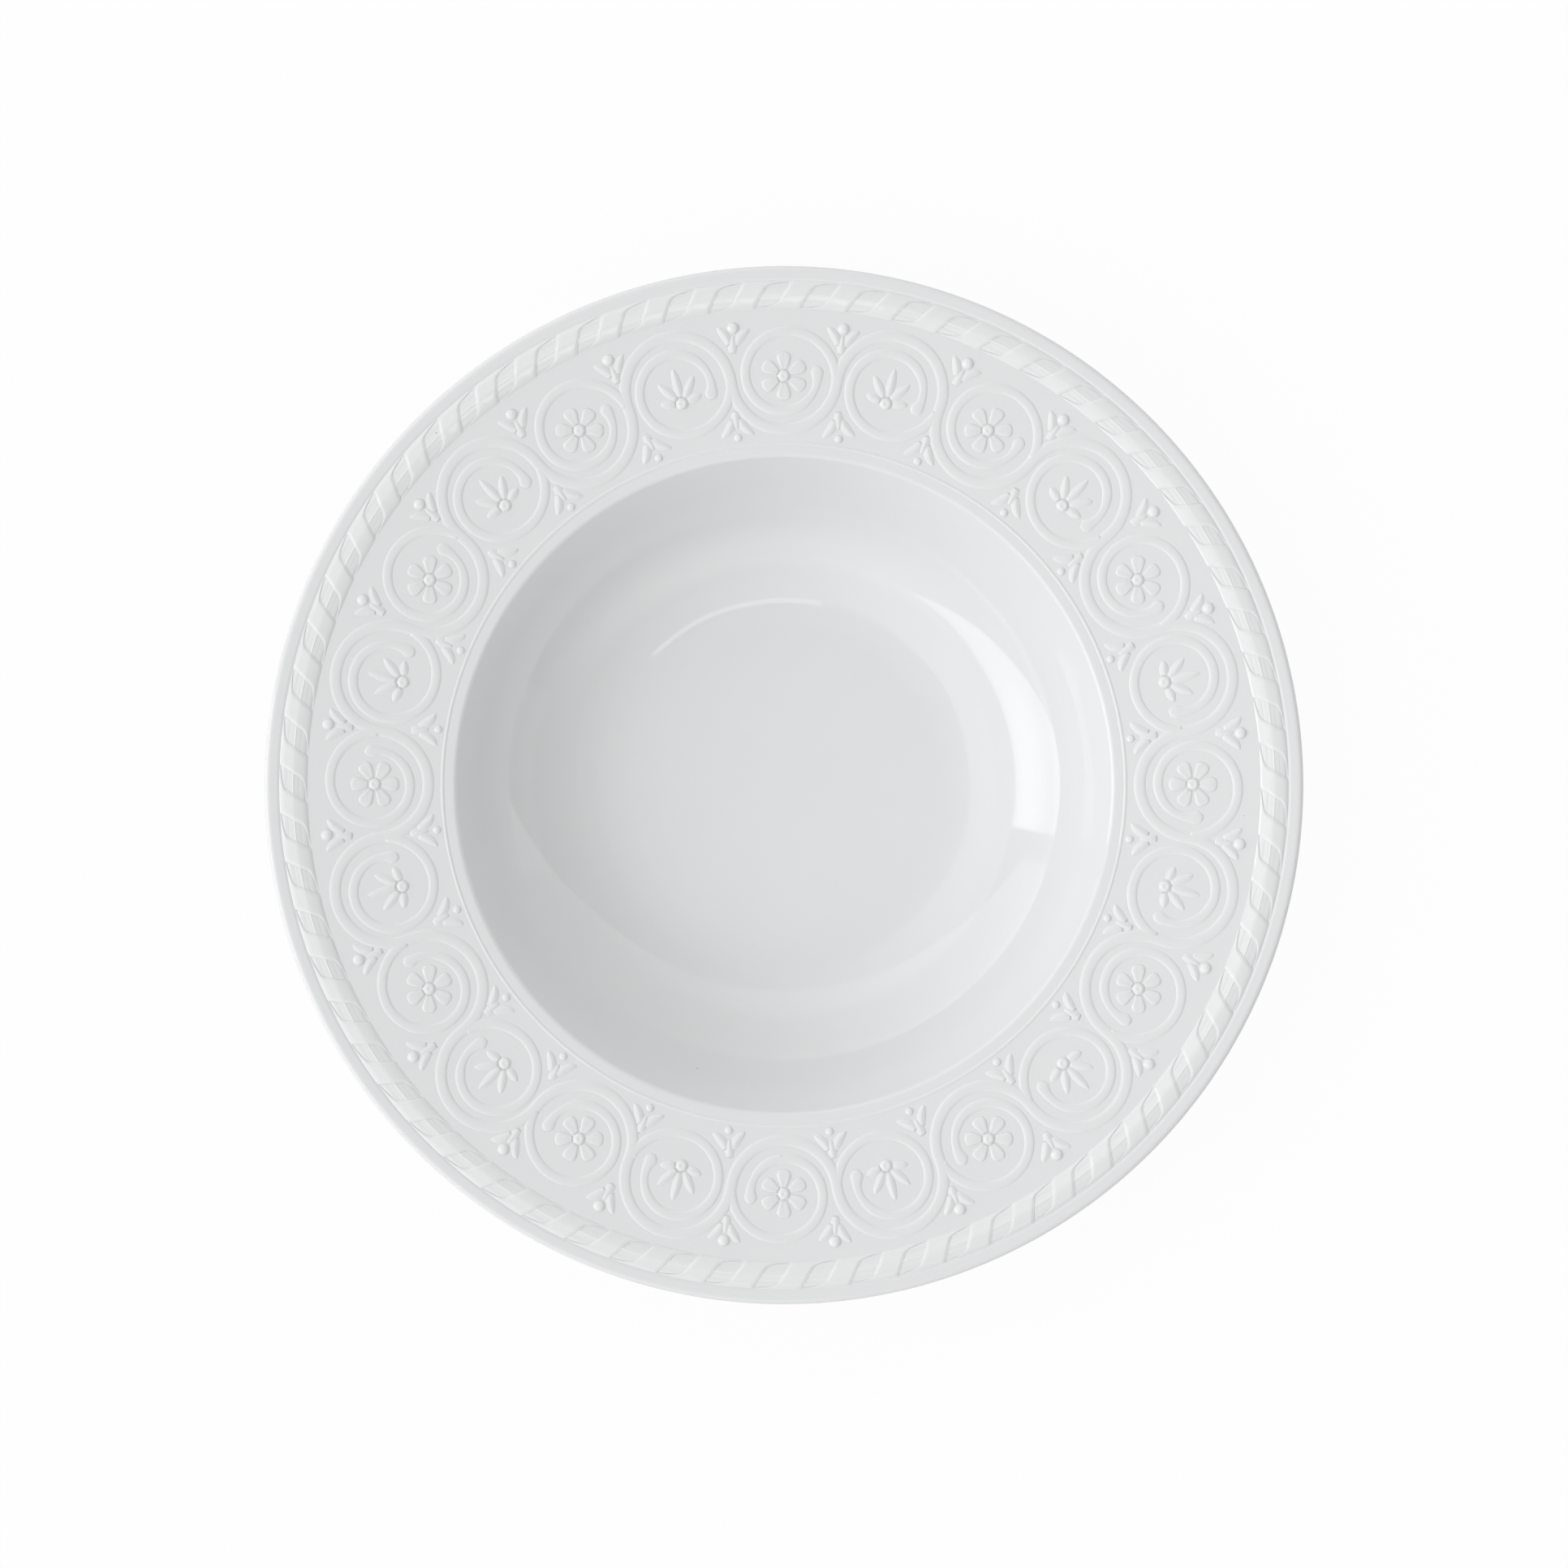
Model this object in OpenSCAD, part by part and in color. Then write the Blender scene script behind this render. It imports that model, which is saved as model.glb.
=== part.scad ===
// Rimmed soup plate: a white porcelain body on a foot ring, with moulded relief laid on its rim.
// The plate stands on z = 0 and turns about the Z axis. Lengths are millimetres, angles degrees.

/* [Well] */
// Diameter of the well at its verge, where the wall meets the rim
well_d = 152; // [130:1:180]
// Depth of the well below the verge
well_depth = 26.5; // [22:0.5:31]
// Diameter of the flat floor inside the well
floor_d = 72; // [60:1:90]
// Radius of the wall's arc as a share of one that would reach from the floor up to the verge
wall_round_share = 0.957; // [0.93:0.001:0.98]
// Thickness of the floor and the wall
body_t = 4.2; // [3.4:0.1:5]
// Radius that rounds the verge on the upper side
verge_r = 1.5; // [1:0.1:2]
// Radius that rounds the wall into the rim on the under side
under_r = 7; // [5:0.5:9]

/* [Foot] */
// Height of the floor's under side above the table
foot_lift = 2.6; // [2:0.1:3.2]
// Diameter through the middle of the foot ring
foot_d = 100; // [84:1:118]
// Width of the foot ring where it joins the body
foot_w = 5.4; // [4.6:0.1:6.4]
// Width of the flat bearing face
foot_face_w = 2.6; // [2:0.1:3.2]
// Radius that rounds the edges of the bearing face
foot_edge_r = 0.7; // [0.5:0.05:0.9]

/* [Rim] */
// Height that the rim climbs from the verge to the top of the lip
rim_rise = 3.2; // [2.6:0.1:4.2]
// Width of the plain band between the verge and the fine line
verge_band_w = 3; // [2.4:0.1:3.6]
// Width of the band that carries the vine
frieze_w = 29.3; // [24:0.1:35]
// Width of the plain groove between the vine and the rope
groove_w = 0.8; // [0.5:0.1:1.2]
// Width of the plain lip
lip_w = 3.4; // [2.8:0.1:4]
// Height of the lip above the ground of the relief
lip_h = 0.4; // [0.3:0.05:0.55]
// Thickness of the rim at the lip
edge_t = 3; // [2.4:0.1:3.6]

/* [Rope border] */
// Width of the rope border
rope_w = 6.6; // [5.6:0.1:7.8]
// How far the ribbon reaches past the rod on each side
wrap_w = 0.6; // [0.4:0.05:0.9]
// Height of the rod inside the rope border
rod_h = 0.6; // [0.5:0.05:0.75]
// Height of the fine ridge along the top of the rod
ridge_h = 0.08; // [0.05:0.01:0.12]
// Spacing of the ribbon's turns along the border
ribbon_pitch = 11; // [9.2:0.1:13]
// Thickness of the ribbon wound round the rod
ribbon_t = 0.3; // [0.25:0.05:0.4]

/* [Vine] */
// Width of the vine's main stem
stem_w = 2.8; // [2.3:0.1:3.3]
// Height of the main stem
stem_h = 0.45; // [0.35:0.05:0.55]
// Width of the side stems that coil up
arm_w = 2.4; // [2:0.1:2.9]
// Plain ground between a side stem and the main stem round it
arm_gap = 0.7; // [0.5:0.05:0.9]
// How far each side stem coils, in degrees
arm_turn = 385; // [340:5:400]
// Width of the leaves
leaf_w = 2.15; // [1.9:0.05:2.4]
// Height of the leaves and petals
leaf_h = 0.6; // [0.5:0.05:0.75]
// Width of the rosettes' petals
petal_w = 3.4; // [2.9:0.1:3.6]
// Plain ground between a side stem and the flower inside it
eye_gap = 0.9; // [0.7:0.1:1.2]

/* [Pearls] */
// Diameter of the pearls along the outside of the vine
pearl_d = 2.6; // [2.2:0.1:3]
// Diameter of the pearls along the inside of the vine
small_pearl_d = 1.8; // [1.5:0.1:2.1]
// Diameter of the hearts of the flowers
heart_d = 2.7; // [2.3:0.1:3.1]
// Width of the fine line round the verge band
line_w = 0.9; // [0.7:0.05:1.1]
// Height of the fine line
line_h = 0.2; // [0.15:0.05:0.3]

/* [Hidden] */

glaze = [0.93, 0.93, 0.94];
relief = [0.97, 0.97, 0.98];
bare = [0.86, 0.85, 0.82];
round_fn = 180;
dome_fn = 24;
corner_steps = 5;
arc_steps = 10;
lip_steps = 16;

// Clearance under each piece of relief, and under the ribbon's straight rows on the round rod
seat = 0.02;
ribbon_seat = 0.06;
// Plain ground between a leaf's root and the heart or the stem that it grows from
root_gap = 0.15;

// Radii of the bands, from the verge outwards
well_r = well_d / 2;
floor_r = floor_d / 2;
line_r = well_r + verge_band_w;
frieze_in_r = line_r + line_w;
frieze_out_r = frieze_in_r + frieze_w;
rope_in_r = frieze_out_r + groove_w;
rope_r = rope_in_r + rope_w / 2;
lip_in_r = rope_in_r + rope_w;
plate_r = lip_in_r + lip_w;

// Heights
floor_z = foot_lift + body_t;
verge_z = floor_z + well_depth;
plate_h = verge_z + rim_rise;
ground_slope = (rim_rise - lip_h) / (lip_in_r + lip_w / 2 - well_r);

// The wall: an arc that leaves the floor level, then a straight run up to the verge
wall_run = well_r - floor_r;
wall_arc_r = wall_round_share * (wall_run ^ 2 + well_depth ^ 2) / (2 * well_depth);
verge_reach = [wall_run, wall_arc_r - well_depth];
wall_slope = atan2(verge_reach.x, verge_reach.y) - acos(wall_arc_r / norm(verge_reach));
outer_arc_r = wall_arc_r + body_t;
arc_z = floor_z + wall_arc_r;

// The foot ring
foot_in_r = (foot_d - foot_w) / 2;
foot_out_r = (foot_d + foot_w) / 2;
seat_z = under_z(foot_in_r);

// The vine: circles that touch each other, an even number of them
circle_target = (frieze_w - stem_w) / 2;
frieze_r = (frieze_in_r + frieze_out_r) / 2;
circle_n = 2 * ceil(90 / asin(circle_target / frieze_r));
circle_step = 360 / circle_n;
circle_r = frieze_r * sin(circle_step / 2);
touch_r = frieze_r * cos(circle_step / 2);
circle_out = circle_r + stem_w / 2;
// Height above the centre line at which the two stems that part leave room between them
crotch = sqrt(circle_out * circle_out - circle_r * circle_r);
// How much closer to the centre a side stem ends than it begins
coil_share = 1.4;
arm_drop = (stem_w / 2 + arm_w / 2 + arm_gap) * coil_share;
arm_start_share = 0.045;
eye_r = circle_r - arm_drop - arm_w / 2;
flower_r = eye_r - eye_gap;
heart_r = heart_d / 2;

// Half sections across a strip of relief, as shares of its half width and its height
stem_shares = [[-1, 0], [-0.66, 0.75], [0, 1], [0.66, 0.75], [1, 0]];
leaf_shares = [[-1, 0], [0, 1], [1, 0]];
// Along a leaf, a petal and the tip of a side stem: place, width and height, as shares
leaf_run_shares = [[0, 0.4, 0.6], [0.35, 0.95, 1], [0.7, 0.8, 0.9], [1, 0.1, 0.15]];
petal_run_shares = [[0, 0.35, 0.6], [0.45, 0.9, 1], [0.8, 1, 0.8], [1, 0.35, 0.2]];
tip_shares = [0.8, 0.85, 1.15, 1.25, 0.5];
arm_h_share = 0.95;
// A tuft's leaves: angle, then length as a share of the flower's radius
tuft_shares = [[0, 1.5], [37, 1.27], [-37, 1.27], [79, 0.9], [-79, 0.9]];
tuft_base_share = 0.6;
// A spray's leaves: angle, start and length as shares of the room beyond the crotch, and bend
spray_shares = [[0, 0.08, 0.54, 0], [17, 0.34, 0.66, 42], [-17, 0.34, 0.66, -42]];
// A leaning spray turns by this angle, and its foot moves by this share of the room
lean = 9;
lean_share = 0.14;
petal_n = 6;

// Roundness of the lip's section: 1 is an ellipse, and less is squarer
lip_power = 0.6;

// The ribbon's width, its sweep from edge to edge and its tails, as shares of its pitch. A tail is the
// part that runs along the rod's side where the ribbon goes round it, and it grows steeply there.
ribbon_fill_share = 0.5;
ribbon_sweep_share = 0.19;
ribbon_tail_share = 0.42;
tail_start_share = 0.9;
tail_power = 9;
// Rows across the border and points across the ribbon, as shares of their half widths
ribbon_row_shares = [-1, -0.9, -0.8, -0.45, 0, 0.45, 0.8, 0.9, 1];
ribbon_across_shares = [[-1, 0], [-0.88, 1], [0, 0.7], [0.88, 1], [1, 0]];
ribbon_end_share = 0.6;
rod_crown = 2;
rod_steps = 8;
ridge_w_share = 0.1;

function turned(a) = [cos(a), sin(a)];
function unit(v) = v / norm(v);
function arc(c, r, a0, a1, n) = [for (i = [0 : n]) c + r * turned(a0 + (a1 - a0) * i / n)];

// Where the line through p along u meets the line through q along v
function meet(p, u, q, v) = p + u * ((q.x - p.x) * v.y - (q.y - p.y) * v.x) / (u.x * v.y - u.y * v.x);

// The corner c between points p and q, rounded to radius r
function rounded(p, c, q, r) =
    let (u = unit(p - c), v = unit(q - c), half = acos(u * v) / 2, m = c + unit(u + v) * r / sin(half),
         d0 = c + u * r / tan(half) - m, d1 = c + v * r / tan(half) - m,
         a0 = atan2(d0.y, d0.x), turn = atan2(d0.x * d1.y - d0.y * d1.x, d0 * d1))
    arc(m, r, a0, a0 + turn, corner_steps);

// Height of the body's under side at radius r
function under_z(r) =
    let (x = max(0, r - floor_r), reach = outer_arc_r * sin(wall_slope))
    x < reach ? arc_z - sqrt(outer_arc_r * outer_arc_r - x * x)
              : arc_z - outer_arc_r * cos(wall_slope) + (x - reach) * tan(wall_slope);

function rim_z(r) = verge_z + (r - well_r) * ground_slope;
// The place of plan point p at height h above the rim's ground
function on_rim(p, h) = [p.x, p.y, rim_z(norm(p)) + seat + h];
// The plan point at x clockwise and y outwards from the point at polar angle a and radius c
function local(a, c, p) = [(c + p.y) * cos(a) + p.x * sin(a), (c + p.y) * sin(a) - p.x * cos(a)];

// Direction across a path at point i
function across(path, i, closed) =
    let (n = len(path), before = closed ? (i + n - 1) % n : max(0, i - 1),
         after = closed ? (i + 1) % n : min(n - 1, i + 1), d = unit(path[after] - path[before]))
    [-d.y, d.x];

// A strip of relief on the rim along a plan path; w and h list its half width and height at each point
module strip(path, w, h, shares, closed = false) {
    n = len(path);
    m = len(shares);
    points = [for (i = [0 : n - 1], s = shares)
        on_rim(path[i] + across(path, i, closed) * s.x * w[i], s.y * h[i])];
    sides = [for (i = [0 : closed ? n - 1 : n - 2], j = [0 : m - 1])
        let (row = i * m, next = (i + 1) % n * m, k = (j + 1) % m,
             a = row + j, b = row + k, c = next + k, d = next + j)
        each [[a, b, c], [a, c, d]]];
    caps = closed ? [] : [for (j = [1 : m - 2])
        each [[0, j + 1, j], [(n - 1) * m, (n - 1) * m + j, (n - 1) * m + j + 1]]];
    polyhedron(points, concat(sides, caps));
}

// How far a path of one length unit has come at share s when it bends evenly by an angle in all
function bent(angle, bend, s) =
    let (turn = max(abs(bend * s), 0.001), chord = s * sin(turn / 2) / (turn / 2 * PI / 180))
    chord * [sin(angle + bend * s / 2), cos(angle + bend * s / 2)];

// A leaf that starts at distance start from a foot, in a local frame at polar angle a and radius c
module leaf(a, c, foot, angle, start, length, width, run, bend = 0) {
    root = foot + start * [sin(angle), cos(angle)];
    strip([for (s = run) local(a, c, root + length * bent(angle, bend, s.x))],
          [for (s = run) s.y * width / 2],
          [for (s = run) s.z * leaf_h], leaf_shares);
}

// A round pearl, cut flat where it sits on the rim's ground
module dome(a, c, p, d) {
    q = local(a, c, p);
    r = norm(q);
    sag = asin(ground_slope);
    translate([q.x, q.y, rim_z(r) + seat])
        rotate([0, 0, atan2(q.y, q.x)])
            rotate([0, -sag, 0])
                rotate_extrude($fn = dome_fn)
                    intersection() {
                        circle(d = d, $fn = dome_fn);
                        square(d);
                    }
}

// The lip's outline from the end of the ground, up from the height of the ground and over the outside
// to its under side
function lip_points() =
    let (half = [lip_w, edge_t + lip_h] / 2, mid = [plate_r, plate_h] - half,
         a0 = 180 - asin(pow((edge_t - lip_h) / (edge_t + lip_h), 1 / lip_power)))
    concat([[lip_in_r, rim_z(lip_in_r)]],
           [for (i = [0 : lip_steps])
               let (a = a0 + (-90 - a0) * i / lip_steps)
               mid + [sign(cos(a)) * pow(abs(cos(a)), lip_power) * half.x,
                      sign(sin(a)) * pow(abs(sin(a)), lip_power) * half.y]]);

module plate_body() {
    wall = turned(wall_slope);
    verge = [well_r, verge_z];
    ground = unit([1, ground_slope]);
    lip = lip_points();
    lip_end = lip[len(lip) - 1];
    rim_under = [well_r, verge_z - body_t];
    under_corner = meet(verge + body_t * [wall.y, -wall.x], wall, lip_end, lip_end - rim_under);
    foot_a = asin((foot_out_r - floor_r) / outer_arc_r);
    seat_a = asin(max(0, foot_in_r - floor_r) / outer_arc_r);
    color(glaze)
        rotate_extrude($fn = round_fn)
            polygon(concat(
                [[0, foot_lift], [0, floor_z]],
                arc([floor_r, arc_z], wall_arc_r, -90, wall_slope - 90, arc_steps),
                rounded(verge - wall, verge, verge + ground, verge_r),
                lip,
                rounded(lip_end, under_corner, under_corner - wall, under_r),
                arc([floor_r, arc_z], outer_arc_r, wall_slope - 90, foot_a - 90, arc_steps),
                [[foot_out_r, seat_z], [foot_in_r, seat_z]],
                arc([floor_r, arc_z], outer_arc_r, seat_a - 90, -90, corner_steps)));
}

module foot_ring() {
    face_in = (foot_d - foot_face_w) / 2 - foot_edge_r;
    face_out = (foot_d + foot_face_w) / 2 + foot_edge_r;
    color(bare)
        rotate_extrude($fn = round_fn)
            polygon(concat(
                [[foot_in_r, seat_z]],
                rounded([foot_in_r, seat_z], [face_in, 0], [face_out, 0], foot_edge_r),
                rounded([face_in, 0], [face_out, 0], [foot_out_r, seat_z], foot_edge_r),
                [[foot_out_r, seat_z]]));
}

module verge_line() {
    half = line_w / 2;
    color(relief)
        rotate_extrude($fn = round_fn)
            polygon([for (a = [180 : -30 : 0])
                [line_r + half * cos(a), rim_z(line_r + half * cos(a)) + seat + line_h * sin(a)]]);
}

// Height of the ribbon's bed over the rod at share x of the border's half width
function rod_bed(x) = rod_h * (1 - pow(abs(x), rod_crown));

// The rod follows the bed, less the height of its ridge, which stands up in the middle
module rope_rod() {
    half = rope_w / 2;
    edge = 1 - wrap_w / half;
    ridge = [-ridge_w_share, 0, ridge_w_share];
    top = [for (i = [-rod_steps : rod_steps], x = i == 0 ? ridge : [edge * i / rod_steps])
        let (r = rope_r + half * x)
        [r, rim_z(r) + seat + rod_bed(x) - (x == 0 ? 0 : ridge_h)]];
    first = rope_r - half * edge;
    last = rope_r + half * edge;
    color(relief)
        rotate_extrude($fn = round_fn)
            polygon(concat([[first, rim_z(first) + seat]], top, [[last, rim_z(last) + seat]]));
}

// How far the ribbon's edge runs out along the rod's side at share x
function tail(x) = ribbon_tail_share * min(1, pow(max(0, x) / tail_start_share, tail_power));

// One turn of the ribbon over the rod, as a sheared band whose rows run along the border. Its clockwise
// edge has a tail at the outer side, and its other edge has one at the inner side.
module ribbon_turn(a) {
    half = rope_w / 2;
    rows = ribbon_row_shares;
    m = len(ribbon_across_shares);
    n = len(rows);
    points = [for (x = rows, s = ribbon_across_shares)
        let (r = rope_r + half * x,
             run = s.x * s.x * (s.x > 0 ? tail(x) : -tail(-x)),
             u = ribbon_pitch * (ribbon_sweep_share * x + ribbon_fill_share * s.x / 2 + run),
             p = r * turned(a - u / rope_r * 180 / PI))
        on_rim(p, rod_bed(x) + ribbon_seat + ribbon_t * s.y * (1 - ribbon_end_share * pow(x, 4)))];
    sides = [for (i = [0 : n - 2], j = [0 : m - 1])
        let (b = i * m + j, c = i * m + (j + 1) % m, d = (i + 1) * m + (j + 1) % m, e = (i + 1) * m + j)
        each [[b, d, c], [b, e, d]]];
    caps = [for (j = [1 : m - 2])
        each [[0, j, j + 1], [(n - 1) * m, (n - 1) * m + j + 1, (n - 1) * m + j]]];
    polyhedron(points, concat(sides, caps));
}

module rope_ribbon() {
    turns = round(2 * PI * rope_r / ribbon_pitch);
    color(relief)
        for (i = [0 : turns - 1])
            ribbon_turn(i * 360 / turns);
}

// Circle k sits at this polar angle, and even circles are open at the top, odd ones at the bottom
function circle_a(k) = -k * circle_step;
function side(k) = k % 2 == 0 ? 1 : -1;
function circle_point(k, a, r) = local(circle_a(k), frieze_r, r * [cos(a), side(k) * sin(a)]);

// The main stem waves under each even circle and over each odd one
function wave_path() = [for (k = [0 : circle_n - 1], i = [0 : arc_steps - 1])
    let (lead = side(k) * circle_step / 2, a0 = 180 + lead, a1 = 360 - lead)
    circle_point(k, a0 + (a1 - a0) * i / arc_steps, circle_r)];

// A side stem leaves the main stem at share 0 and coils inwards to share 1
function arm_path(k, n) = [for (i = [0 : n])
    let (t = arm_start_share + (1 - arm_start_share) * i / n, a = arm_turn * t - side(k) * circle_step / 2)
    circle_point(k, a, circle_r - arm_drop * (1 - pow(1 - t, 2)))];

module vine_scroll() {
    arm_steps = 2 * arc_steps - 1;
    wave = wave_path();
    color(relief)
        union() {
            strip(wave, [for (p = wave) stem_w / 2], [for (p = wave) stem_h], stem_shares, true);
            for (k = [0 : circle_n - 1]) {
                path = arm_path(k, arm_steps);
                tip = arm_steps + 1 - len(tip_shares);
                swell = [for (i = [0 : arm_steps]) i < tip ? 1 : tip_shares[i - tip]];
                strip(path, [for (s = swell) s * arm_w / 2],
                      [for (s = swell) min(s, 1) * stem_h * arm_h_share], stem_shares);
            }
        }
}

// Where two circles touch there is room outside (way 1) and inside (way -1) for a spray of leaves.
// On the side where no stem branches off, the spray leans towards the open ground.
room = circle_out - crotch;
function leans(k, way) = way == side(k) ? 0 : 1;
function spray_foot(k, way) = [leans(k, way) * lean_share * room, way * crotch];

module leaf_sprays() {
    color(relief)
        for (k = [0 : circle_n - 1], way = [1, -1], s = spray_shares) {
            angle = leans(k, way) * lean + s[0];
            leaf(circle_a(k) - circle_step / 2, touch_r, spray_foot(k, way), way > 0 ? angle : 180 - angle,
                 s[1] * room, s[2] * room, leaf_w, leaf_run_shares, way * s[3]);
        }
}

module rosettes() {
    color(relief)
        for (k = [0 : 2 : circle_n - 1], i = [0 : petal_n - 1])
            leaf(circle_a(k), frieze_r, [0, 0], i * 360 / petal_n, heart_r + root_gap,
                 flower_r - heart_r - root_gap, petal_w, petal_run_shares);
}

module leaf_tufts() {
    color(relief)
        for (k = [1 : 2 : circle_n - 1], s = tuft_shares)
            leaf(circle_a(k), frieze_r, [0, -tuft_base_share * flower_r], s[0], heart_r + root_gap,
                 s[1] * flower_r - heart_r - root_gap, leaf_w, leaf_run_shares);
}

module pearls() {
    color(relief)
        for (k = [0 : circle_n - 1]) {
            for (way = [1, -1]) {
                d = way > 0 ? pearl_d : small_pearl_d;
                reach = room - d / 2;
                tip = [reach * tan(leans(k, way) * lean), way * reach];
                dome(circle_a(k) - circle_step / 2, touch_r, spray_foot(k, way) + tip, d);
            }
            dome(circle_a(k), frieze_r, [0, side(k) > 0 ? 0 : -tuft_base_share * flower_r], heart_d);
        }
}

plate_body();
foot_ring();
verge_line();
rope_rod();
rope_ribbon();
vine_scroll();
leaf_sprays();
rosettes();
leaf_tufts();
pearls();
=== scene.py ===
# Rimmed soup plate in white glazed porcelain: a turned body with moulded relief on its rim.
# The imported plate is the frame, and each piece made here stands for one of its nodes, in the same place.
# The dictionaries give lengths in millimetres and angles in degrees. Meshes are made in metres.
import math
import bpy
import mathutils
import numpy as np
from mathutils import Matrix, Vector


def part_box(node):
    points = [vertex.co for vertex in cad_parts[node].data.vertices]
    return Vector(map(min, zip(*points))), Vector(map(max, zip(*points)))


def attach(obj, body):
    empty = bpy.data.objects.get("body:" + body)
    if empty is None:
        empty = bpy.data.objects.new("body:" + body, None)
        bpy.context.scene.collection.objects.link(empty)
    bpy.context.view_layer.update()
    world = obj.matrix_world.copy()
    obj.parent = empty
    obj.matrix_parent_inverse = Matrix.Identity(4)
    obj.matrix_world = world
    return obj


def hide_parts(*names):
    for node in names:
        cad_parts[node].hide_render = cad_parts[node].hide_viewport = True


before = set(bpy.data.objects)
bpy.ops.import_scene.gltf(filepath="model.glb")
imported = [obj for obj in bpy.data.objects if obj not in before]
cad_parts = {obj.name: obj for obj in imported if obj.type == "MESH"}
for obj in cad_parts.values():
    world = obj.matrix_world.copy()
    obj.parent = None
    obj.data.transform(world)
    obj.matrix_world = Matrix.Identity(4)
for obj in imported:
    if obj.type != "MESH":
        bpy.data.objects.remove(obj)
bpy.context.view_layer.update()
metre = 0.001

plate = {
    "radius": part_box("plate_body")[1].x / metre,
    "height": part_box("plate_body")[1].z / metre,
    "lift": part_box("plate_body")[0].z / metre,
    "footRadius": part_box("foot_ring")[1].x / metre,
    "wellRadius": 76.0,
    "floorRadius": 36.0,
    "wallSlope": 55.9,
    "thickness": 4.2,
    "vergeRound": 1.5,
    "underRound": 7.0,
    "rimRise": 3.2,
    "lipWidth": 3.4,
    "lipHeight": 0.15,
    "edgeThickness": 3.25,
    "lipPower": 0.6,
    "lipLead": 0.2,           # how far inside the lip its step begins
    "lipFoot": 0.8,           # width and height of that step
    "lipStep": 0.13,
    "crownLead": 0.3,         # where the lip's level top ends, past its middle and below its full height
    "crownDrop": 0.01,
    "flatMargin": 3.0,        # distance from the last row of a flat to the arc that follows
    "rimMargin": 1.0,         # the same at both ends of the rim
    "edgeGap": 0.05,          # and where the lip's level top ends
    "underRimRows": (0.15, 0.85, 5),    # first and last place along the rim's under side, and how many
    "edgeAngles": (80, -90),  # round the outside of the lip, from near its top to its lowest point
    "flatSteps": 9,
    "wallSteps": 40,
    "vergeSteps": 12,
    "rimSteps": 16,
    "lipFootSteps": 9,
    "lipTopRows": (0.2, 1, 5),
    "lipSteps": 32,
    "underSteps": 14,
    "shellSteps": 34,
    "turns": 512,
}

vergeZ = plate["height"] - plate["rimRise"]
floorZ = plate["lift"] + plate["thickness"]
lipInner = plate["radius"] - plate["lipWidth"]
lipMiddle = lipInner + plate["lipWidth"] / 2
groundSlope = (plate["rimRise"] - plate["lipHeight"]) / (lipMiddle - plate["wellRadius"])
buried = 0.35     # how deep the closed under side of a piece of relief lies in the body
sunk = 0.03       # how far the foot of a fillet goes under the ground it runs out on


# Meshes

# Faces between neighbours on each of a number of equal grids that lie one after another in a list of points
def gridFaces(copies, rows, cols, wrapRows=False, wrapCols=True):
    start = (np.arange(copies) * rows * cols)[:, None, None]
    i = np.arange(rows if wrapRows else rows - 1)[None, :, None]
    j = np.arange(cols if wrapCols else cols - 1)[None, None, :]

    def corner(down, right):
        return start + (i + down) % rows * cols + (j + right) % cols

    corners = np.broadcast_arrays(corner(0, 0), corner(0, 1), corner(1, 1), corner(1, 0))
    return np.stack(corners, -1).reshape(-1, 4)


# One face that closes the first row of each grid and one that closes its last row
def endFaces(copies, rows, cols):
    first = (np.arange(copies) * rows * cols)[:, None] + np.arange(cols)[None, ::-1]
    last = first[:, ::-1] + (rows - 1) * cols
    return np.concatenate([first, last])


# A grid whose faces would look inwards gets its columns in the other order
def facingOut(points):
    along = np.diff(points, axis=1)
    across = (np.roll(points, -1, axis=2) - points)[:, :-1]
    out = (points - points.mean(axis=2, keepdims=True))[:, :-1]
    side = (np.cross(across, along) * out).sum(axis=(1, 2, 3))
    return np.where(side[:, None, None, None] < 0, points[:, :, ::-1], points)


# Makes a smooth mesh object from points in millimetres, and lets it stand for a node of the frame
def addPiece(name, points, faces, material, node):
    mesh = bpy.data.meshes.new(name)
    sizes = np.concatenate([np.full(len(group), group.shape[1]) for group in faces])
    corners = np.concatenate([group.ravel() for group in faces])
    mesh.vertices.add(len(points))
    mesh.vertices.foreach_set("co", (points * metre).ravel())
    mesh.loops.add(len(corners))
    mesh.loops.foreach_set("vertex_index", corners.astype(np.int32))
    mesh.polygons.add(len(sizes))
    mesh.polygons.foreach_set("loop_start", (np.cumsum(sizes) - sizes).astype(np.int32))
    mesh.polygons.foreach_set("use_smooth", np.ones(len(sizes), bool))
    mesh.update(calc_edges=True)
    mesh.validate()
    mesh.materials.append(material)
    piece = bpy.data.objects.new(name, mesh)
    bpy.context.scene.collection.objects.link(piece)
    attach(piece, "root")
    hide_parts(node)
    print(f"{name}: {len(points)} points, {int((sizes - 2).sum())} triangles")
    return piece


# Closed grids of points, each closed by a face at both ends, as one piece
def addTubes(name, groups, material, node):
    points, faces, start = [], [], 0
    for group in groups:
        copies, rows, cols, _ = group.shape
        points.append(facingOut(group).reshape(-1, 3))
        faces += [gridFaces(copies, rows, cols) + start, endFaces(copies, rows, cols) + start]
        start += copies * rows * cols
    return addPiece(name, np.concatenate(points), faces, material, node)


# Rows of (radius, height) turned once round the Z axis: x = r * cos(a), y = r * sin(a)
def turned(rows):
    a = np.linspace(0, 2 * math.pi, plate["turns"], endpoint=False)[:, None]
    r, z = rows[:, 0], rows[:, 1]
    return np.stack([r * np.cos(a), r * np.sin(a), z + 0 * a], -1)


# A closed outline turned to a ring
def addRing(name, outline, material, node):
    ring = turned(outline)[None]
    faces = gridFaces(1, plate["turns"], len(outline), wrapRows=True)
    return addPiece(name, facingOut(ring).reshape(-1, 3), [faces], material, node)


# Plan shapes

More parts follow.
